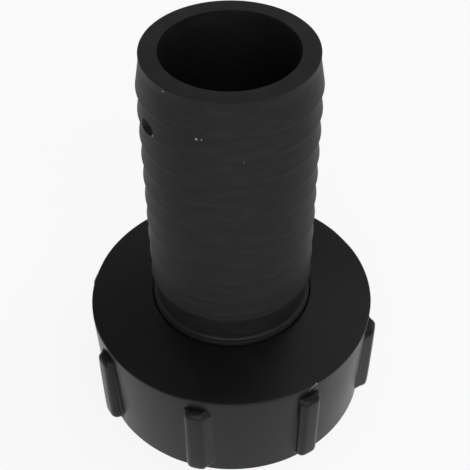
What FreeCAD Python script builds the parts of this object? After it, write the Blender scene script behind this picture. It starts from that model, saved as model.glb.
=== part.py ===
import FreeCAD, Part
import math
import os
import Sketcher
from FreeCAD import Vector

# Swivel adapter for the tap of a bulk liquid container. A union nut with a coarse female thread
# screws on the tap's outlet, and a hose tail with ten barbs stands in the nut's hole, held by a
# flange inside the nut. A flat rubber washer seals the tap's end against that flange.
# Millimetres. The bore's axis is Z, the open rim of the nut stands on Z = 0, and the front is -Y.

os.makedirs("parts", exist_ok=True)
doc = FreeCAD.newDocument("tap_adapter")

# Driving dimensions: name, value and what it measures
SIZES = [
    ("thread_radius", 30.3, "root radius of the nut's thread, for a 60 mm male thread"),
    ("thread_pitch", 6.0, "rise of the thread in one turn"),
    ("thread_depth", 2.6, "height of the thread's ridge above its root"),
    ("thread_crest", 1.6, "width of the ridge's crest"),
    ("thread_lead_flank", 1.5, "axial width of the sloping flank that faces the mouth"),
    ("thread_load_flank", 0.14, "axial width of the nearly square flank that pulls"),
    ("thread_root_bite", 0.5, "how far the ridge is rooted in the wall"),
    ("mouth_clearance", 0.6, "radial room of the plain mouth outside the thread's root"),
    ("mouth_depth", 2.5, "depth of the plain mouth before the thread starts"),
    ("nut_wall", 5.7, "thickness of the skirt outside the thread's root, at its top edge"),
    ("nut_draft", 0.9, "how much narrower the nut is at its open rim"),
    ("nut_height", 28.9, "height of the nut at the edge of its top"),
    ("nut_edge_round", 1.2, "round between the top and the side"),
    ("rim_break", 0.4, "break of the open rim's outer edge"),
    ("crown_rise", 2.3, "how much the top rises from its edge to its hole"),
    ("plate_thickness", 3.0, "thickness of the top at its edge"),
    ("hole_break", 0.4, "break of the hole's upper edge"),
    ("swivel_clearance", 0.35, "radial running room between the hole and the tail's shoulder"),
    ("flange_clearance", 0.3, "running room between the top's underside and the flange"),
    ("rib_count", 8, "grip ribs round the nut"),
    ("rib_width", 4.4, "width of one rib"),
    ("rib_height", 2.0, "how far a rib's upright face stands out past the nut's top edge"),
    ("rib_drop", 2.7, "distance from the nut's top edge down to a rib's upper end"),
    ("rib_lift", 0.8, "distance from the open rim up to a rib's lower end"),
    ("rib_top_round", 1.9, "round of a rib's upper end"),
    ("rib_foot_round", 1.6, "round of a rib's lower end"),
    ("rib_edge_round", 0.9, "round along a rib's outer edges"),
    ("rib_root_round", 0.7, "soft corner where a rib meets the side"),
    ("rib_bury", 2.0, "how deep a rib's root lies in the wall"),
    ("nut_turn", 30.8, "how far the nut is turned on the tail as it stands"),
    ("bore_radius", 15.0, "radius of the tail's bore"),
    ("bore_break", 0.2, "break of the bore's upper edge"),
    ("rim_radius", 19.0, "outside radius of the tail's open end"),
    ("rim_edge_break", 0.3, "break of the open end's outer edge"),
    ("lip_height", 2.0, "height of the straight lip at the open end"),
    ("nose_length", 4.9, "length of the lead cone from the lip to the first barb"),
    ("barb_count", 10, "barbs along the tail"),
    ("barb_radius", 20.0, "radius of the barbs' crests, for a 40 mm hose"),
    ("barb_pitch", 6.08, "distance from one barb to the next"),
    ("barb_land", 0.7, "width of the flat land on a barb's crest"),
    ("barb_step", 0.5, "drop under each crest to the start of the next cone"),
    ("barb_bury", 1.0, "how deep a barb's ring lies in the tail's wall"),
    ("neck_radius", 19.0, "radius of the plain neck under the barbs"),
    ("neck_length", 7.0, "length of the plain neck"),
    ("shoulder_radius", 20.4, "radius of the shoulder that turns in the nut's hole"),
    ("shoulder_slope", 1.1, "height of the sloping ring from the neck to the shoulder"),
    ("shoulder_stand", 1.1, "how far the shoulder stands out of the nut's hole"),
    ("flange_side_room", 0.5, "radial room in which the flange passes the thread's crests"),
    ("flange_thickness", 3.5, "thickness of the flange"),
    ("dent_turn", -60.5, "direction of the dent, from the front towards the right"),
    ("dent_drop", 12.5, "distance of the dent below the tail's open end"),
    ("dent_width", 2.5, "half the dent's width"),
    ("dent_tall", 1.75, "half the dent's height"),
    ("dent_depth", 1.0, "depth of the dent under the barbs' crests"),
    ("gasket_side_room", 0.9, "radial room between the washer and the thread's root"),
    ("gasket_width", 6.9, "width of the washer from its edge to its hole"),
    ("gasket_thickness", 3.0, "thickness of the washer"),
    ("gasket_clearance", 0.3, "room between the washer and the top of the thread"),
]

# Radii and heights that follow from them: name, formula and what it measures
PLACES = [
    ("rim_foot", "0", "the open rim's height"),
    ("nut_radius", "Sizes.thread_radius + Sizes.nut_wall", "radius of the nut at its top edge"),
    ("nut_foot_radius", "nut_radius - Sizes.nut_draft", "radius of the nut at its open rim"),
    ("hub_height", "Sizes.nut_height + Sizes.crown_rise", "height of the top at its hole"),
    ("plate_under", "Sizes.nut_height - Sizes.plate_thickness", "underside of the top"),
    ("hole_radius", "Sizes.shoulder_radius + Sizes.swivel_clearance", "hole in the top"),
    ("hole_break_radius", "hole_radius + Sizes.hole_break", "outer end of the hole's break"),
    ("hole_break_height", "hub_height - Sizes.hole_break", "lower end of the hole's break"),
    ("side_slope", "Sizes.nut_draft / Sizes.nut_height", "radius that the side gains with height"),
    ("rim_break_radius", "nut_foot_radius - Sizes.rim_break", "inner end of the rim's break"),
    ("rim_side_radius", "nut_foot_radius + side_slope * Sizes.rim_break",
     "radius of the side at the rim's break"),
    ("mouth_radius", "Sizes.thread_radius + Sizes.mouth_clearance", "wall of the plain mouth"),
    ("mouth_top", "Sizes.mouth_depth + Sizes.mouth_clearance", "start of the thread's wall"),
    ("flange_top", "plate_under - Sizes.flange_clearance", "upper side of the flange"),
    ("flange_under", "flange_top - Sizes.flange_thickness", "sealing side of the flange"),
    ("gasket_under", "flange_under - Sizes.gasket_thickness", "lower side of the washer"),
    ("ridge_foot", "Sizes.thread_radius - Sizes.thread_depth", "crest radius of the thread"),
    ("flange_radius", "ridge_foot - Sizes.flange_side_room", "radius of the flange"),
    ("gasket_radius", "Sizes.thread_radius - Sizes.gasket_side_room", "radius of the washer"),
    ("gasket_hole", "gasket_radius - Sizes.gasket_width", "radius of the washer's hole"),
    ("ridge_back", "Sizes.thread_radius + Sizes.thread_root_bite", "the ridge's root in the wall"),
    ("crest_low", "mouth_top + Sizes.thread_lead_flank", "lower edge of the first crest"),
    ("crest_high", "crest_low + Sizes.thread_crest", "upper edge of the first crest"),
    ("ridge_high", "crest_high + Sizes.thread_load_flank", "upper edge of the first turn's root"),
    ("thread_rise", "gasket_under - Sizes.gasket_clearance - ridge_high", "climb of the thread"),
    ("slope_foot", "hub_height + Sizes.shoulder_stand", "lower edge of the sloping ring"),
    ("neck_foot", "slope_foot + Sizes.shoulder_slope", "upper edge of the sloping ring"),
    ("neck_top", "neck_foot + Sizes.neck_length", "underside of the lowest barb"),
    ("barb_reach", "Sizes.barb_pitch * (Sizes.barb_count - 1)", "lowest to highest barb"),
    ("pattern_reach", "barb_reach - Sizes.barb_pitch", "lowest to last but one barb"),
    ("barb_crest", "neck_top + Sizes.barb_land", "upper edge of the lowest land"),
    ("barb_high", "neck_top + Sizes.barb_pitch", "top of the lowest barb's cone"),
    ("cone_radius", "Sizes.barb_radius - Sizes.barb_step", "narrow end of a barb's cone"),
    ("barb_back", "Sizes.neck_radius - Sizes.barb_bury", "inner side of a barb's ring"),
    ("top_barb", "neck_top + barb_reach", "underside of the highest barb"),
    ("top_land", "top_barb + Sizes.barb_land", "upper edge of the highest land"),
    ("lip_foot", "top_land + Sizes.nose_length", "lower edge of the straight lip"),
    ("tail_top", "lip_foot + Sizes.lip_height", "the tail's open end"),
    ("lip_top", "tail_top - Sizes.rim_edge_break", "upper edge of the straight lip"),
    ("rim_inset", "Sizes.rim_radius - Sizes.rim_edge_break", "outer edge of the end's face"),
    ("bore_rim", "Sizes.bore_radius + Sizes.bore_break", "inner edge of the end's face"),
    ("bore_top", "tail_top - Sizes.bore_break", "upper end of the bore's wall"),
    ("rib_top", "Sizes.nut_height - Sizes.rib_drop", "upper end of a rib"),
    ("rib_reach", "nut_radius + Sizes.rib_height", "radius of a rib's outer face"),
    ("rib_root", "nut_foot_radius - Sizes.rib_bury", "radius of a rib's buried side"),
    ("dent_height", "tail_top - Sizes.dent_drop", "middle of the dent"),
    ("dent_right", "Sizes.barb_radius * sin(Sizes.dent_turn * 1deg)", "the dent, to the right"),
    ("dent_back", "-Sizes.barb_radius * cos(Sizes.dent_turn * 1deg)", "the dent, to the back"),
]


def fill(name, rows, sign=""):
    """A sheet with a meaning, a value or formula and an alias in each row."""
    sheet = doc.addObject("Spreadsheet::Sheet", name)
    for row, (alias, content, meaning) in enumerate(rows, start=1):
        sheet.set(f"A{row}", meaning)
        sheet.set(f"B{row}", f"{sign}{content}")
        sheet.setAlias(f"B{row}", alias)
    doc.recompute()
    return sheet


sheets = {"Sizes": fill("Sizes", SIZES), "Places": fill("Places", PLACES, "=")}
home = {row[0]: "Sizes" for row in SIZES} | {row[0]: "Places" for row in PLACES}


def cell(alias):
    """A cell's full name, as the formulas of bodies and sketches need it."""
    return f"{home[alias]}.{alias}"


def number(alias):
    return float(sheets[home[alias]].get(alias))


def new_body(name):
    body = doc.addObject("PartDesign::Body", name)
    body.Label = name
    return body


def plane_of(body, role):
    return next(f for f in body.Origin.OriginFeatures if f.Role == role)


def hold(sketch, name, alias, kind, *where):
    """A sketch's dimension, named and tied to a cell."""
    at = sketch.addConstraint(Sketcher.Constraint(kind, *where, number(alias)))
    sketch.renameConstraint(at, name)
    sketch.setExpression(f"Constraints.{name}", cell(alias))


def hold_point(sketch, geometry, end, name, x, y):
    """Hold a point at the radius and height in two cells."""
    hold(sketch, f"{name}_x", x, "DistanceX", -1, 1, geometry, end)
    if y == "rim_foot":
        sketch.addConstraint(Sketcher.Constraint("PointOnObject", geometry, end, -1))
    else:
        hold(sketch, f"{name}_y", y, "DistanceY", -1, 1, geometry, end)


def outline(body, name, corners):
    """A closed upright sketch through corners (name, radius, height, round or nothing)."""
    sketch = body.newObject("Sketcher::SketchObject", name)
    sketch.AttachmentSupport = [(plane_of(body, "XZ_Plane"), "")]
    sketch.MapMode = "FlatFace"
    points = [Vector(number(c[1]), number(c[2]), 0) for c in corners]
    rounds = [number(c[3]) if len(c) > 3 else 0 for c in corners]
    reach = []
    for i, here in enumerate(points):
        back = points[i - 1] - here
        ahead = points[(i + 1) % len(points)] - here
        reach.append(rounds[i] / math.tan(back.getAngle(ahead) / 2) if rounds[i] else 0)
    lines = []
    for i, here in enumerate(points):
        there = points[(i + 1) % len(points)]
        along = (there - here).normalize()
        start = here + along * reach[i]
        stop = there - along * reach[(i + 1) % len(points)]
        lines.append(sketch.addGeometry(Part.LineSegment(start, stop)))
    for i, corner in enumerate(corners):
        before, after = lines[i - 1], lines[i]
        if not rounds[i]:
            sketch.addConstraint(Sketcher.Constraint("Coincident", before, 2, after, 1))
            hold_point(sketch, after, 1, *corner[:3])
            continue
        sharp = sketch.addGeometry(Part.Point(points[i]), True)
        hold_point(sketch, sharp, 1, *corner[:3])
        sketch.addConstraint(Sketcher.Constraint("PointOnObject", sharp, 1, before))
        sketch.addConstraint(Sketcher.Constraint("PointOnObject", sharp, 1, after))
        enters = sketch.getPoint(before, 2)
        leaves = sketch.getPoint(after, 1)
        inward = ((enters + leaves) * 0.5 - points[i]).normalize()
        centre = points[i] + inward * math.hypot(rounds[i], reach[i])
        bend = sketch.addGeometry(Part.Arc(enters, centre - inward * rounds[i], leaves))
        turned = sketch.getPoint(bend, 1).distanceToPoint(enters) > 1e-6
        first, last = (2, 1) if turned else (1, 2)
        sketch.addConstraint(Sketcher.Constraint("Tangent", before, 2, bend, first))
        sketch.addConstraint(Sketcher.Constraint("Tangent", bend, last, after, 1))
        hold(sketch, f"{corner[0]}_round", corner[3], "Radius", bend)
    return sketch


def revolve(body, name, sketch):
    turned = body.newObject("PartDesign::Revolution", name)
    turned.Profile = sketch
    turned.ReferenceAxis = (sketch, ["V_Axis"])
    turned.Angle = 360
    return turned


def round_edges(body, name, base, picked, radius):
    """Fillet the edges of a feature that picked() chooses, by a radius from the sheet."""
    doc.recompute()
    found = [f"Edge{i}" for i, e in enumerate(base.Shape.Edges, start=1) if picked(e)]
    if not found:
        raise RuntimeError(f"{name} finds no edge to round")
    fillet = body.newObject("PartDesign::Fillet", name)
    fillet.Base = (base, found)
    fillet.setExpression("Radius", cell(radius))
    return fillet


# Union nut: one moulding, turned about the bore. A crowned top with a hole, a skirt that narrows
# towards its open rim, and inside it a plain mouth and the thread's cylindrical wall.
nut = new_body("union_nut")
nut_outline = outline(nut, "nut_outline", [
    ("rim_inner", "rim_break_radius", "rim_foot"),
    ("rim_side", "rim_side_radius", "rim_break"),
    ("top_edge", "nut_radius", "nut_height", "nut_edge_round"),
    ("hole_outer", "hole_break_radius", "hub_height"),
    ("hole_side", "hole_radius", "hole_break_height"),
    ("hole_under", "hole_radius", "plate_under"),
    ("relief", "thread_radius", "plate_under"),
    ("thread_start", "thread_radius", "mouth_top"),
    ("mouth_end", "mouth_radius", "mouth_depth"),
    ("rim_inside", "mouth_radius", "rim_foot"),
])
revolve(nut, "nut_turned", nut_outline)

# Grip ribs: upright bars, rounded at both ends, along their edges and softly at their roots.
rib_outline = outline(nut, "rib_outline", [
    ("root_foot", "rib_root", "rib_lift"),
    ("foot", "rib_reach", "rib_lift", "rib_foot_round"),
    ("head", "rib_reach", "rib_top", "rib_top_round"),
    ("root_head", "rib_root", "rib_top"),
])
rib = nut.newObject("PartDesign::Pad", "rib")
rib.Profile = rib_outline
rib.SideType = "Symmetric"
rib.setExpression("Length", cell("rib_width"))
ribs = nut.newObject("PartDesign::PolarPattern", "ribs")
ribs.Originals = [rib]
ribs.Axis = (nut_outline, ["V_Axis"])
ribs.Angle = 360
ribs.setExpression("Occurrences", cell("rib_count"))
nut.Tip = ribs


def in_rib_frame(edge):
    """An edge's middle, turned about Z to the rib at angle zero that it lies nearest."""
    point = edge.valueAt((edge.FirstParameter + edge.LastParameter) / 2)
    step = 2 * math.pi / number("rib_count")
    turn = round(math.atan2(point.y, point.x) / step) * step
    x = point.x * math.cos(turn) + point.y * math.sin(turn)
    y = point.y * math.cos(turn) - point.x * math.sin(turn)
    return Vector(x, y, point.z)


def off_side(at):
    """How far a point lies outside the nut's sloping side."""
    side = number("nut_foot_radius") + number("side_slope") * at.z
    return math.hypot(at.x, at.y) - side


def along_rib(edge):
    """An edge round a rib's flat sides, clear of the nut's side."""
    at = in_rib_frame(edge)
    half = number("rib_width") / 2
    return abs(abs(at.y) - half) < 0.01 and off_side(at) > 0.05


def at_rib_root(edge):
    """An edge where a rib meets the nut's side."""
    at = in_rib_frame(edge)
    half = number("rib_width") / 2
    in_span = number("rib_lift") - 0.01 < at.z < number("rib_top") + 0.01
    return abs(off_side(at)) < 0.02 and abs(at.y) < half + 0.01 and in_span


rib_edges = round_edges(nut, "rib_edges", ribs, along_rib, "rib_edge_round")
round_edges(nut, "rib_roots", rib_edges, at_rib_root, "rib_root_round")

# Coarse buttress thread: one ridge swept up the wall, square on top where it pulls and sloping
# below where the tap's thread comes in.
thread_section = outline(nut, "thread_section", [
    ("back_low", "ridge_back", "mouth_top"),
    ("wall_low", "thread_radius", "mouth_top"),
    ("crest_foot", "ridge_foot", "crest_low"),
    ("crest_head", "ridge_foot", "crest_high"),
    ("wall_high", "thread_radius", "ridge_high"),
    ("back_high", "ridge_back", "ridge_high"),
])
thread = nut.newObject("PartDesign::AdditiveHelix", "thread")
thread.Profile = thread_section
thread.ReferenceAxis = (thread_section, ["V_Axis"])
thread.Mode = 0
thread.setExpression("Pitch", cell("thread_pitch"))
thread.setExpression("Height", cell("thread_rise"))
nut.Tip = thread
nut.setExpression("Placement.Rotation.Angle", cell("nut_turn"))

# Hose tail: one moulding, turned about the bore. From the foot up: a flat flange inside the nut,
# the shoulder that turns in the nut's hole, a plain neck, the highest barb, and above it the lead
# cone and the straight lip.
tail = new_body("hose_tail")
tail_outline = outline(tail, "tail_outline", [
    ("bore_foot", "bore_radius", "flange_under"),
    ("flange_low", "flange_radius", "flange_under"),
    ("flange_high", "flange_radius", "flange_top"),
    ("shoulder_foot", "shoulder_radius", "flange_top"),
    ("shoulder_top", "shoulder_radius", "slope_foot"),
    ("neck_low", "neck_radius", "neck_foot"),
    ("neck_high", "neck_radius", "top_barb"),
    ("step", "barb_radius", "top_barb"),
    ("land", "barb_radius", "top_land"),
    ("nose", "rim_radius", "lip_foot"),
    ("lip", "rim_radius", "lip_top"),
    ("end_outer", "rim_inset", "tail_top"),
    ("end_inner", "bore_rim", "tail_top"),
    ("bore_head", "bore_radius", "bore_top"),
])
revolve(tail, "tail_turned", tail_outline)

# Barbs: each a square step, a narrow land and a cone that meets the next barb's step.
barb_outline = outline(tail, "barb_outline", [
    ("back_low", "barb_back", "neck_top"),
    ("step", "barb_radius", "neck_top"),
    ("land", "barb_radius", "barb_crest"),
    ("cone_top", "cone_radius", "barb_high"),
    ("back_high", "barb_back", "barb_high"),
])
barb = revolve(tail, "barb", barb_outline)
barbs = tail.newObject("PartDesign::LinearPattern", "barbs")
barbs.Originals = [barb]
barbs.Direction = (barb_outline, ["V_Axis"])
barbs.setExpression("Length", cell("pattern_reach"))
barbs.setExpression("Occurrences", f"{cell('barb_count')} - 1")
tail.Tip = barbs

# A knock on the tail, left of the front between two barbs: a shallow oval dent.
dent = tail.newObject("PartDesign::SubtractiveEllipsoid", "dent")
dent.setExpression("Radius1", cell("dent_tall"))
dent.setExpression("Radius2", cell("dent_depth"))
dent.setExpression("Radius3", cell("dent_width"))
dent.AttachmentSupport = [(plane_of(tail, "XY_Plane"), "")]
dent.MapMode = "ObjectXY"
dent.setExpression("AttachmentOffset.Base.x", cell("dent_right"))
dent.setExpression("AttachmentOffset.Base.y", cell("dent_back"))
dent.setExpression("AttachmentOffset.Base.z", cell("dent_height"))
dent.setExpression("AttachmentOffset.Rotation.Angle", f"({cell('dent_turn')} - 90) * 1deg")
tail.Tip = dent

# Gasket: a flat rubber washer under the flange, wider than the thread's crests.
gasket = new_body("gasket")
gasket_outline = outline(gasket, "gasket_outline", [
    ("low_inside", "gasket_hole", "gasket_under"),
    ("low_outside", "gasket_radius", "gasket_under"),
    ("high_outside", "gasket_radius", "flange_under"),
    ("high_inside", "gasket_hole", "flange_under"),
])
revolve(gasket, "gasket_turned", gasket_outline)

doc.recompute()
for item in doc.Objects:
    if "Invalid" in item.State or "Error" in item.State:
        raise RuntimeError(f"{item.Name} is {item.State}")
for body in (nut, tail, gasket):
    shape = body.Shape
    if shape.isNull() or not shape.isValid() or len(shape.Solids) != 1:
        raise RuntimeError(f"{body.Label} has no valid solid")
    shape.exportStep(f"parts/{body.Label}.step")
    print(body.Label, "volume", round(shape.Volume), "faces", len(shape.Faces))
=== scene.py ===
import math

import bmesh
import bpy
from mathutils import Matrix, Vector


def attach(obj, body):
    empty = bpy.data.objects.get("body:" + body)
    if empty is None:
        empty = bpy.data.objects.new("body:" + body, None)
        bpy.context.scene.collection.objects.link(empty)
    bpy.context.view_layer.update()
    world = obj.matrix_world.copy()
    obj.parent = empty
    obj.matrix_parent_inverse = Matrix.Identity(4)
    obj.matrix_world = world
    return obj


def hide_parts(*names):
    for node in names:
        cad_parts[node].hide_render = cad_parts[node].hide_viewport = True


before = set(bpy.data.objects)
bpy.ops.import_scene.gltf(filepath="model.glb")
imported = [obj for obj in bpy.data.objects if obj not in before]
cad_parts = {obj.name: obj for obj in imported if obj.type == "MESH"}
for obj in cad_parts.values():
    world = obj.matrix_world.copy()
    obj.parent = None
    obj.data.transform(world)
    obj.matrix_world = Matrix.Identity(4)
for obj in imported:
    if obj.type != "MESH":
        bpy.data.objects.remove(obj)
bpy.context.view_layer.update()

# Hose tail: the barbed tube that a 40 mm hose is pushed over. One moulding in black polypropylene,
# round about its bore, so it is drawn as half a section and spun, and then gets the dent near its
# open end. From the foot up: flange, shoulder in the nut's hole, neck, ten barbs, cone and lip.
MM = 0.001
WELD = 0.002 * MM
SOFT_ANGLE = 40
TURN_STEPS = 192
BORE_RADIUS = 15.0 * MM
FLANGE_RADIUS = 27.2 * MM
FLANGE_UNDER = 22.1 * MM
FLANGE_TOP = 25.6 * MM
FLANGE_ROUND = 0.3 * MM
SHOULDER_RADIUS = 20.0 * MM
SHOULDER_TOP = 32.1 * MM
SHOULDER_ROUND = 0.12 * MM
NECK_RADIUS = 19.0 * MM
NECK_COVE = 0.8 * MM
NECK_TOP = 39.9 * MM
BARB_COUNT = 10
BARB_PITCH = 6.08 * MM
BARB_RADIUS = 20.0 * MM
BARB_LAND = 0.3 * MM
BARB_ROUND = 0.12 * MM
CONE_RADIUS = 19.05 * MM
LIP_FOOT = 100.72 * MM
TAIL_TOP = 102.72 * MM
RIM_RADIUS = 19.0 * MM
RIM_ROUND = 0.15 * MM
DENT_TURN = -60.5
DENT_HEIGHT = 90.0 * MM
DENT_SIZE = (2.6 * MM, 1.6 * MM, 1.45 * MM)


def pick(piece):
    """Leaves only this piece selected, and active."""
    bpy.ops.object.select_all(action="DESELECT")
    piece.select_set(True)
    bpy.context.view_layer.objects.active = piece


def select(kind, wanted):
    """In edit mode, selects only the vertices, edges or faces whose middle is wanted."""
    bpy.ops.mesh.select_all(action="DESELECT")
    bpy.ops.mesh.select_mode(type=kind)
    mesh = bpy.context.object.data
    form = bmesh.from_edit_mesh(mesh)
    items, middle = {
        "VERT": (form.verts, lambda item: item.co),
        "EDGE": (form.edges, lambda item: (item.verts[0].co + item.verts[1].co) / 2),
        "FACE": (form.faces, lambda item: item.calc_center_median()),
    }[kind]
    for item in items:
        if wanted(middle(item)):
            item.select_set(True)
    bmesh.update_edit_mesh(mesh)


def draw_line(name, points):
    """A new piece in edit mode: one vertex, pulled on from point to point."""
    bpy.ops.object.select_all(action="DESELECT")
    bpy.ops.mesh.primitive_plane_add(size=MM)
    piece = bpy.context.object
    piece.name = piece.data.name = name
    bpy.ops.object.mode_set(mode="EDIT")
    bpy.ops.mesh.select_mode(type="VERT")
    bpy.ops.mesh.merge(type="CENTER")
    bpy.ops.transform.translate(value=points[0])
    for before, after in zip(points, points[1:]):
        bpy.ops.mesh.extrude_vertices_move(TRANSFORM_OT_translate={"value": after - before})
    bpy.ops.mesh.select_all(action="SELECT")
    return piece


def draw_section(name, corners, direction=0.0):
    """Half a section as a closed loop of edges, left selected in edit mode.

    A corner is a radius, a height and the size of its round, and direction is the angle of the
    section's plane."""
    outward = Vector((math.cos(direction), math.sin(direction), 0))
    points = [outward * radius + Vector((0, 0, height)) for radius, height, _ in corners]
    piece = draw_line(name, points + points[:1])
    bpy.ops.mesh.remove_doubles(threshold=WELD)
    for size in sorted({corner[2] for corner in corners} - {0}):
        rounded = [point for point, corner in zip(points, corners) if corner[2] == size]
        select("VERT", lambda at: any((at - point).length < WELD for point in rounded))
        bpy.ops.mesh.bevel(offset=size, segments=3, affect="VERTICES")
    bpy.ops.mesh.select_all(action="SELECT")
    return piece


def spin(steps, angle=2 * math.pi, **settings):
    """Spins what is selected about the bore."""
    bpy.ops.mesh.spin(steps=steps, angle=angle, center=(0, 0, 0), axis=(0, 0, 1), **settings)


def close_shell(piece):
    """Welds the points that meet, turns the faces outwards and leaves edit mode."""
    bpy.ops.mesh.select_all(action="SELECT")
    bpy.ops.mesh.remove_doubles(threshold=WELD)
    bpy.ops.mesh.normals_make_consistent(inside=False)
    bpy.ops.object.mode_set(mode="OBJECT")


def finish_modifier(piece, kind, **settings):
    """Adds a modifier and applies it."""
    bpy.context.view_layer.objects.active = piece
    modifier = piece.modifiers.new(kind.title(), kind)
    for name, value in settings.items():
        setattr(modifier, name, value)
    bpy.ops.object.modifier_apply(modifier=modifier.name)


def shade(piece):
    """Smooth shading across soft edges, with the big faces kept flat."""
    pick(piece)
    bpy.ops.object.shade_smooth_by_angle(angle=math.radians(SOFT_ANGLE))
    finish_modifier(piece, "WEIGHTED_NORMAL", keep_sharp=True, weight=100)


def round_bore(turn, radius, height):
    """The place that lies so many degrees from the front to the right, out from the bore and up."""
    way = math.radians(turn)
    return radius * math.sin(way), -radius * math.cos(way), height


def knock(piece, turn, radius, height, size):
    """Sinks a rounded hollow in a piece's side. The size is half of across, in and up."""
    bpy.ops.object.select_all(action="DESELECT")
    bpy.ops.mesh.primitive_uv_sphere_add(
        segments=32, ring_count=16, radius=1.0, rotation=(0, 0, math.radians(turn)),
        location=round_bore(turn, radius, height))
    ball = bpy.context.object
    ball.scale = size
    bpy.ops.object.transform_apply()
    finish_modifier(piece, "BOOLEAN", operation="DIFFERENCE", solver="EXACT", object=ball)
    bpy.data.objects.remove(ball)


tail_section = [
    (BORE_RADIUS, FLANGE_UNDER, FLANGE_ROUND),
    (FLANGE_RADIUS, FLANGE_UNDER, FLANGE_ROUND),
    (FLANGE_RADIUS, FLANGE_TOP, FLANGE_ROUND),
    (SHOULDER_RADIUS, FLANGE_TOP, FLANGE_ROUND),
    (SHOULDER_RADIUS, SHOULDER_TOP, SHOULDER_ROUND),
    (NECK_RADIUS, SHOULDER_TOP, NECK_COVE),
    (NECK_RADIUS, NECK_TOP, BARB_ROUND),
]
for barb in range(BARB_COUNT):
    step = NECK_TOP + barb * BARB_PITCH
    if barb:
        tail_section.append((CONE_RADIUS, step, BARB_ROUND))
    tail_section.append((BARB_RADIUS, step, BARB_ROUND))
    tail_section.append((BARB_RADIUS, step + BARB_LAND, BARB_ROUND))
tail_section += [
    (RIM_RADIUS, LIP_FOOT, RIM_ROUND),
    (RIM_RADIUS, TAIL_TOP, RIM_ROUND),
    (BORE_RADIUS, TAIL_TOP, RIM_ROUND),
]
tail = draw_section("hose_tail_moulding", tail_section)
spin(TURN_STEPS)
close_shell(tail)
knock(tail, DENT_TURN, BARB_RADIUS, DENT_HEIGHT, DENT_SIZE)
shade(tail)

# A fleck is a small pale spot. It has a turn, a radius, a height and a size.
TAIL_COLOUR = "0f0f10"
# Pale grey that the flecks and rub marks are blended towards.
PALE_MARK_COLOUR = "7a7a78"
TAIL_SMOOTHEST = 0.50
TAIL_ROUGHEST = 0.56
TAIL_SHINE = 0.2
TAIL_RUBBED = 0.025
TAIL_FLECKS = [
    (-43.3, 19.1 * MM, 101.9 * MM, 0.3 * MM),
    (-20.3, 19.25 * MM, 93.4 * MM, 0.35 * MM),
    (-17.0, 19.25 * MM, 93.5 * MM, 0.2 * MM),
    (8.2, 20.0 * MM, 88.7 * MM, 0.16 * MM),
    (-53.8, 19.95 * MM, 89.5 * MM, 0.5 * MM),
]
WAVE_WIDTH = 9.09 * MM
GRAIN_WIDTH = 0.625 * MM
GRAIN_DEPTH = 0.05 * MM
RUB_WIDTH = 1.43 * MM
RUB_STRETCH = (0.25, 0.25, 1.6)


def linear(hexcode):
    """An sRGB hex colour as the linear colour that a shader takes."""
    parts = [int(hexcode[i:i + 2], 16) / 255 for i in (0, 2, 4)]
    return [p / 12.92 if p <= 0.04045 else ((p + 0.055) / 1.055) ** 2.4 for p in parts] + [1]


def add_node(tree, kind, inputs, **settings):
    """A node with its settings, each input given a value or another node's output."""
    node = tree.nodes.new(kind)
    for name, value in settings.items():
        setattr(node, name, value)
    for name, value in inputs.items():
        if isinstance(value, bpy.types.NodeSocket):
            tree.links.new(value, node.inputs[name])
        else:
            node.inputs[name].default_value = value
    return node


def new_material(name):
    """A material without nodes, and its tree."""
    material = bpy.data.materials.new(name)
    material.use_nodes = True
    material.node_tree.nodes.clear()
    return material, material.node_tree


def on_flecks(tree, place, flecks):
    """1 on the flecks, which end softly, and 0 elsewhere."""
    flecked = 0.0
    for turn, radius, height, size in flecks:
        middle = round_bore(turn, radius, height)
        away = add_node(tree, "ShaderNodeVectorMath", {0: place, 1: middle}, operation="DISTANCE")
        fleck = add_node(tree, "ShaderNodeMapRange", {
            "Value": away.outputs["Value"], "From Min": size / 2, "From Max": size,
            "To Min": 1.0, "To Max": 0.0})
        both = add_node(tree, "ShaderNodeMath", {0: flecked, 1: fleck.outputs["Result"]},
                        operation="MAXIMUM")
        flecked = both.outputs[0]
    return flecked


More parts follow.
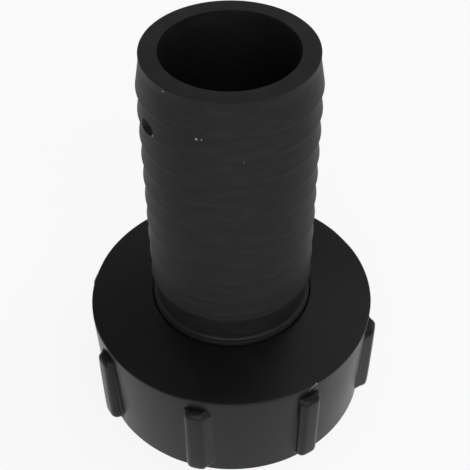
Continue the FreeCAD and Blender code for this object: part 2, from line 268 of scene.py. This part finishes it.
def polypropylene(name, colour, smoothest, roughest, shine, flecks, rubbed_share):
    """Black polypropylene as it leaves the mould: smooth, waxy and half matt.

    Broad waves change its gloss, a fine grain softens it, and flecks and faint level rub marks
    are pale on it."""
    material, tree = new_material(name)
    place = add_node(tree, "ShaderNodeTexCoord", {}).outputs["Object"]
    waves = add_node(tree, "ShaderNodeTexNoise", {
        "Vector": place, "Scale": 1 / WAVE_WIDTH, "Detail": 2.0})
    gloss = add_node(tree, "ShaderNodeMapRange", {
        "Value": waves.outputs["Fac"], "From Min": 0.3, "From Max": 0.7,
        "To Min": smoothest, "To Max": roughest})
    grain = add_node(tree, "ShaderNodeTexNoise", {
        "Vector": place, "Scale": 1 / GRAIN_WIDTH, "Detail": 3.0})
    relief = add_node(tree, "ShaderNodeBump", {
        "Height": grain.outputs["Fac"], "Strength": 0.25, "Distance": GRAIN_DEPTH})
    level = add_node(tree, "ShaderNodeMapping", {"Vector": place, "Scale": RUB_STRETCH})
    rubbing = add_node(tree, "ShaderNodeTexNoise", {
        "Vector": level.outputs["Vector"], "Scale": 1 / RUB_WIDTH, "Detail": 3.0})
    rubbed = add_node(tree, "ShaderNodeMapRange", {
        "Value": rubbing.outputs["Fac"], "From Min": 0.45, "From Max": 0.75,
        "To Max": rubbed_share})
    pale = add_node(tree, "ShaderNodeMath", {
        0: on_flecks(tree, place, flecks), 1: rubbed.outputs["Result"]}, operation="MAXIMUM")
    tone = add_node(tree, "ShaderNodeMix", {
        "Factor": pale.outputs[0], "A": linear(colour), "B": linear(PALE_MARK_COLOUR)},
        data_type="RGBA")
    plastic = add_node(tree, "ShaderNodeBsdfPrincipled", {
        "Base Color": tone.outputs["Result"], "Roughness": gloss.outputs["Result"],
        "IOR": 1.49, "Specular IOR Level": shine, "Normal": relief.outputs["Normal"]})
    add_node(tree, "ShaderNodeOutputMaterial", {"Surface": plastic.outputs["BSDF"]})
    return material


def dress(piece, material):
    """Gives a piece its one material."""
    piece.data.materials.clear()
    piece.data.materials.append(material)


dress(tail, polypropylene("black_polypropylene_tail", TAIL_COLOUR, TAIL_SMOOTHEST, TAIL_ROUGHEST,
                          TAIL_SHINE, TAIL_FLECKS, TAIL_RUBBED))
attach(tail, "tail")
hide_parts("hose_tail")

# Gasket: the flat washer of black EPDM rubber under the flange. It is punched from sheet, so
# its faces are flat and dull and its edges are only just broken.
GASKET_RADIUS = 29.4 * MM
GASKET_HOLE = 22.5 * MM
GASKET_UNDER = 19.1 * MM
GASKET_ROUND = 0.2 * MM
GASKET_COLOUR = "1d1d1d"
BLOOM_COLOUR = "2b2b2b"
BLOOM_WIDTH = 1.11 * MM
BLOOM_DEPTH = 0.1 * MM
gasket = draw_section("gasket_washer", [
    (GASKET_HOLE, GASKET_UNDER, GASKET_ROUND),
    (GASKET_RADIUS, GASKET_UNDER, GASKET_ROUND),
    (GASKET_RADIUS, FLANGE_UNDER, GASKET_ROUND),
    (GASKET_HOLE, FLANGE_UNDER, GASKET_ROUND),
])
spin(TURN_STEPS)
close_shell(gasket)
shade(gasket)


def rubber(name, colour, bloom_colour):
    """Vulcanised rubber sheet: matt, with a fine even bloom."""
    material, tree = new_material(name)
    place = add_node(tree, "ShaderNodeTexCoord", {}).outputs["Object"]
    bloom = add_node(tree, "ShaderNodeTexNoise", {
        "Vector": place, "Scale": 1 / BLOOM_WIDTH, "Detail": 4.0})
    tone = add_node(tree, "ShaderNodeMix", {
        "Factor": bloom.outputs["Fac"], "A": linear(colour), "B": linear(bloom_colour)},
        data_type="RGBA")
    relief = add_node(tree, "ShaderNodeBump", {
        "Height": bloom.outputs["Fac"], "Strength": 0.4, "Distance": BLOOM_DEPTH})
    sheet = add_node(tree, "ShaderNodeBsdfPrincipled", {
        "Base Color": tone.outputs["Result"], "Roughness": 0.75, "IOR": 1.52,
        "Normal": relief.outputs["Normal"]})
    add_node(tree, "ShaderNodeOutputMaterial", {"Surface": sheet.outputs["BSDF"]})
    return material


dress(gasket, rubber("black_rubber_sheet", GASKET_COLOUR, BLOOM_COLOUR))
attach(gasket, "tail")
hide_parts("gasket")

# Union nut: the wide cap that screws on the tap, one moulding in black polypropylene. An eighth of
# its wall, with a grip rib pulled out of it and rounded, is set round the bore eight times. The
# coarse thread is a ridge screwed up the wall, and four ribs have one flank filled for the mould.
NUT_TURN = 31.2
NUT_FOOT_RADIUS = 35.3 * MM
NUT_RADIUS = 36.15 * MM
NUT_HEIGHT = 29.1 * MM
NUT_EDGE_ROUND = 0.4 * MM
RIM_BREAK = 0.2 * MM
HUB_HEIGHT = 31.2 * MM
HOLE_RADIUS = 20.2 * MM
HOLE_ROUND = 0.3 * MM
PLATE_UNDER = 25.9 * MM
MOUTH_RADIUS = 30.9 * MM
MOUTH_DEPTH = 2.5 * MM
MOUTH_TOP = 3.1 * MM
INNER_ROUND = 0.25 * MM
WALL_STEPS = 4
THREAD_RADIUS = 30.3 * MM
THREAD_PITCH = 6.0 * MM
THREAD_RISE = 12.46 * MM
THREAD_CREST = 27.7 * MM
THREAD_ROOT = 30.8 * MM
CREST_LOW = 4.6 * MM
CREST_HIGH = 6.2 * MM
RIDGE_HIGH = 6.34 * MM
THREAD_ROUND = 0.3 * MM
THREAD_STEPS = 200
RIB_COUNT = 8
RIB_WIDTH = 5.6 * MM
RIB_FOOT = 1.6 * MM
RIB_TOP = 25.7 * MM
RIB_REACH = 38.0 * MM
RIB_PULL = 2.0 * MM
RIB_TOP_ROUND = 1.9 * MM
RIB_FOOT_ROUND = 2.2 * MM
RIB_EDGE_ROUND = 1.75 * MM
RIB_ROOT_ROUND = 0.5 * MM
RIB_SLACK = 0.06 * MM
ROOT_SLACK = 0.08 * MM
OFF_SIDE = 0.1 * MM


def side_radius(height):
    """Radius of the nut's side, which widens a little from its open rim to its top."""
    return NUT_FOOT_RADIUS + (NUT_RADIUS - NUT_FOOT_RADIUS) * height / NUT_HEIGHT


def on_rib_side(at):
    """The face of the side that the rib is pulled out of."""
    return RIB_FOOT < at.z < RIB_TOP and at.x > MOUTH_RADIUS + MM and abs(at.y) < WELD


def along_rib(at):
    """The long edges of the rib, round its head and foot, clear of the nut's side."""
    off_side = math.hypot(at.x, at.y) - side_radius(at.z)
    return abs(at.y) > RIB_WIDTH / 2 - RIB_SLACK and off_side > OFF_SIDE


def at_rib_root(at):
    """The edges where the rib leaves the side."""
    off_side = abs(math.hypot(at.x, at.y) - side_radius(at.z))
    in_span = RIB_FOOT - WELD < at.z < RIB_TOP + WELD
    return off_side < ROOT_SLACK and abs(at.y) < RIB_WIDTH / 2 + RIB_SLACK and in_span


half_rib = math.asin(RIB_WIDTH / 2 / side_radius(RIB_TOP / 2))
eighth = 2 * math.pi / RIB_COUNT
nut = draw_section("union_nut_moulding", [
    (NUT_FOOT_RADIUS, 0, RIM_BREAK),
    (side_radius(RIB_FOOT), RIB_FOOT, 0),
    (side_radius(RIB_TOP), RIB_TOP, 0),
    (NUT_RADIUS, NUT_HEIGHT, NUT_EDGE_ROUND),
    (HOLE_RADIUS, HUB_HEIGHT, HOLE_ROUND),
    (HOLE_RADIUS, PLATE_UNDER, INNER_ROUND),
    (THREAD_RADIUS, PLATE_UNDER, INNER_ROUND),
    (THREAD_RADIUS, MOUTH_TOP, INNER_ROUND),
    (MOUTH_RADIUS, MOUTH_DEPTH, INNER_ROUND),
    (MOUTH_RADIUS, 0, INNER_ROUND),
], direction=eighth / 2)
spin(WALL_STEPS, eighth / 2 - half_rib)
spin(1, 2 * half_rib)
spin(WALL_STEPS, eighth / 2 - half_rib)
bpy.ops.mesh.select_all(action="SELECT")
bpy.ops.mesh.normals_make_consistent(inside=False)
select("FACE", on_rib_side)
bpy.ops.mesh.extrude_region_move(TRANSFORM_OT_translate={"value": (RIB_PULL, 0, 0)})
bpy.ops.transform.resize(value=(0, 1, 1), center_override=(RIB_REACH, 0, 0))
select("EDGE", lambda at: at.x > RIB_REACH - WELD and at.z > RIB_TOP - WELD)
bpy.ops.mesh.bevel(offset=RIB_TOP_ROUND, segments=4, affect="EDGES")
select("EDGE", lambda at: at.x > RIB_REACH - WELD and at.z < RIB_FOOT + WELD)
bpy.ops.mesh.bevel(offset=RIB_FOOT_ROUND, segments=4, affect="EDGES")
select("EDGE", along_rib)
bpy.ops.mesh.bevel(offset=RIB_EDGE_ROUND, segments=4, affect="EDGES")
select("EDGE", at_rib_root)
bpy.ops.mesh.bevel(offset=RIB_ROOT_ROUND, segments=2, affect="EDGES")
bpy.ops.mesh.select_all(action="SELECT")
spin(RIB_COUNT - 1, 2 * math.pi - eighth, dupli=True)
close_shell(nut)
finish_modifier(nut, "SUBSURF", levels=2, render_levels=2)

ridge = draw_section("thread_ridge", [
    (THREAD_ROOT, MOUTH_TOP, 0),
    (THREAD_RADIUS, MOUTH_TOP, 0),
    (THREAD_CREST, CREST_LOW, THREAD_ROUND),
    (THREAD_CREST, CREST_HIGH, THREAD_ROUND),
    (THREAD_RADIUS, RIDGE_HIGH, 0),
    (THREAD_ROOT, RIDGE_HIGH, 0),
])
bpy.ops.object.mode_set(mode="OBJECT")
finish_modifier(
    ridge, "SCREW", axis="Z", angle=2 * math.pi * THREAD_RISE / THREAD_PITCH,
    screw_offset=THREAD_RISE, steps=THREAD_STEPS, render_steps=THREAD_STEPS)
bpy.ops.object.mode_set(mode="EDIT")
bpy.ops.mesh.select_all(action="SELECT")
bpy.ops.mesh.fill_holes(sides=0)
close_shell(ridge)
finish_modifier(nut, "BOOLEAN", operation="UNION", solver="EXACT", object=ridge)
bpy.data.objects.remove(ridge)
pick(nut)
nut.rotation_euler.z = math.radians(NUT_TURN)
bpy.ops.object.transform_apply()

# The mould's halves part in a plane through the rib at the front right, and each is drawn square to
# that plane. Four ribs would hold the mould. Each is given by how many ribs it is from that one and
# by the turn, from the parting, of the way its half is drawn.
PARTING_TURN = 32.4
FILLED_RIBS = ((-1, -90), (1, 90), (3, 90), (-3, -90))
RIB_STEP = 360 / RIB_COUNT
FLANK_LENGTH = 4.2 * MM
FLANK_FOOT = 2.6 * MM
FLANK_TOP = 25.4 * MM
FLANK_SINK = 1.0 * MM
FLANK_ROUND = 1.6 * MM


def fill_flank(rib_turn, draw_turn):
    """Fills the flank of a rib that would hold the mould, along the way that it is drawn."""
    outward = Vector(round_bore(rib_turn, 1, 0))
    drawn = Vector(round_bore(draw_turn, 1, 0))
    along = Vector((-outward.y, outward.x, 0))
    if along.dot(drawn) > 0:
        along.negate()
    across = Vector((-drawn.y, drawn.x, 0))
    if across.dot(outward) < 0:
        across.negate()
    touch = (outward * (RIB_REACH - RIB_EDGE_ROUND) + along * (RIB_WIDTH / 2 - RIB_EDGE_ROUND)
             + across * RIB_EDGE_ROUND)
    corners = [touch, touch - drawn * FLANK_LENGTH, outward * (NUT_RADIUS - FLANK_SINK)]
    foot = Vector((0, 0, FLANK_FOOT))
    flank = draw_line("rib_flank", [corner + foot for corner in corners])
    bpy.ops.mesh.edge_face_add()
    bpy.ops.mesh.extrude_region_move(
        TRANSFORM_OT_translate={"value": (0, 0, FLANK_TOP - FLANK_FOOT)})
    bpy.ops.mesh.select_all(action="SELECT")
    bpy.ops.mesh.normals_make_consistent(inside=False)
    outer = (corners[0] + corners[1]) / 2
    select("EDGE", lambda at: (at.xy - outer.xy).length < WELD)
    bpy.ops.mesh.bevel(offset=FLANK_ROUND, segments=4, affect="EDGES")
    close_shell(flank)
    nut.select_set(True)
    bpy.context.view_layer.objects.active = nut
    bpy.ops.object.join()


for ribs_away, draw_turn in FILLED_RIBS:
    fill_flank(NUT_TURN + RIB_STEP * ribs_away, PARTING_TURN + draw_turn)
shade(nut)

NUT_COLOUR = "0e0e0f"
NUT_SMOOTHEST = 0.30
NUT_ROUGHEST = 0.34
NUT_SHINE = 0.165
NUT_RUBBED = 0.006
NUT_FLECKS = [
    (31.0, 36.2 * MM, 27.1 * MM, 0.36 * MM),
    (31.6, 36.2 * MM, 27.6 * MM, 0.36 * MM),
    (32.3, 36.2 * MM, 28.1 * MM, 0.36 * MM),
    (33.2, 36.2 * MM, 28.4 * MM, 0.4 * MM),
    (34.2, 36.1 * MM, 28.7 * MM, 0.4 * MM),
]
dress(nut, polypropylene("black_polypropylene_nut", NUT_COLOUR, NUT_SMOOTHEST, NUT_ROUGHEST,
                         NUT_SHINE, NUT_FLECKS, NUT_RUBBED))
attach(nut, "nut")
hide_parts("union_nut")

# Studio: a white table that fills the view, a broad soft light low in front, a weaker one high on
# the right and a little behind, and pale walls under a darker ceiling.
WHITE = "ffffff"
TABLE_COLOUR = "f0f0f0"
TABLE_SIZE = 6.0
TABLE_GLOW = 0.86
LOW_WALLS = 0.9
CEILING = 0.36
WALLS_END = 0.05
CEILING_STARTS = 0.45
KEY_SIZE = 2.4
KEY_POWER = 28.0
KEY_PLACE = (0.2, -1.5, 0.45)
KEY_AIM = (0, 0, 0.05)
FILL_SIZE = 2.0
FILL_POWER = 8.0
FILL_PLACE = (0.9, 0.4, 1.3)
FILL_AIM = (0, 0, 0.04)
bpy.ops.object.select_all(action="DESELECT")
bpy.ops.mesh.primitive_plane_add(size=TABLE_SIZE)
floor = bpy.context.object
floor.name = "table"


def seen_directly(tree):
    """1 for what the camera sees, straight or in a gloss or through glass, and 0 otherwise."""
    path = add_node(tree, "ShaderNodeLightPath", {})
    seen = add_node(tree, "ShaderNodeMath", {
        0: path.outputs["Is Camera Ray"], 1: path.outputs["Is Glossy Ray"]}, operation="MAXIMUM")
    return add_node(tree, "ShaderNodeMath", {
        0: seen.outputs[0], 1: path.outputs["Is Transmission Ray"]}, operation="MAXIMUM")


white, tree = new_material("white_table")
paper = add_node(tree, "ShaderNodeBsdfDiffuse", {"Color": linear(TABLE_COLOUR)})
glow = add_node(tree, "ShaderNodeEmission", {"Color": linear(WHITE), "Strength": 1.0})
share = add_node(tree, "ShaderNodeMath", {
    0: seen_directly(tree).outputs[0], 1: TABLE_GLOW}, operation="MULTIPLY")
table = add_node(tree, "ShaderNodeMixShader", {
    0: share.outputs[0], 1: paper.outputs["BSDF"], 2: glow.outputs["Emission"]})
add_node(tree, "ShaderNodeOutputMaterial", {"Surface": table.outputs["Shader"]})
dress(floor, white)

world = bpy.data.worlds.new("pale_room")
world.use_nodes = True
world.node_tree.nodes.clear()
tree = world.node_tree
way = add_node(tree, "ShaderNodeTexCoord", {}).outputs["Generated"]
apart = add_node(tree, "ShaderNodeSeparateXYZ", {"Vector": way})
wall = add_node(tree, "ShaderNodeMapRange", {
    "Value": apart.outputs["Z"], "From Min": WALLS_END, "From Max": CEILING_STARTS,
    "To Min": LOW_WALLS, "To Max": CEILING})
room = add_node(tree, "ShaderNodeBackground", {
    "Color": linear(WHITE), "Strength": wall.outputs["Result"]})
add_node(tree, "ShaderNodeOutputWorld", {"Surface": room.outputs["Background"]})
bpy.context.scene.world = world


def soft_light(name, size, power, place, aim):
    """A round soft lamp, turned to what it lights."""
    bpy.ops.object.light_add(type="AREA", location=place)
    lamp = bpy.context.object
    lamp.name = name
    lamp.data.shape = "DISK"
    lamp.data.size = size
    lamp.data.energy = power
    lamp.rotation_euler = (Vector(aim) - Vector(place)).to_track_quat("-Z", "Y").to_euler()


soft_light("key_light", KEY_SIZE, KEY_POWER, KEY_PLACE, KEY_AIM)
soft_light("fill_light", FILL_SIZE, FILL_POWER, FILL_PLACE, FILL_AIM)

# Camera: where the photograph was taken from, close above and in front, looking down by 44 degrees.
# Its place, turn and lens were fitted to the round edges in the photograph.
CAMERA_PLACE = (0.97 * MM, -164.06 * MM, 209.61 * MM)
CAMERA_DOWN = 0.77435
CAMERA_ROLL = -0.00329
SENSOR_WIDTH = 36.0
FOCAL_PIXELS = 936.5
PICTURE_PIXELS = 470
NEAREST_SEEN = 10 * MM
bpy.ops.object.camera_add()
camera = bpy.context.object
camera.name = "camera"
camera.data.sensor_width = SENSOR_WIDTH
camera.data.lens = SENSOR_WIDTH * FOCAL_PIXELS / PICTURE_PIXELS
camera.data.clip_start = NEAREST_SEEN
camera.matrix_world = (Matrix.Translation(CAMERA_PLACE)
                       @ Matrix.Rotation(math.pi / 2 - CAMERA_DOWN, 4, "X")
                       @ Matrix.Rotation(CAMERA_ROLL, 4, "Z"))
bpy.context.scene.camera = camera
bpy.context.scene.view_settings.view_transform = "Standard"
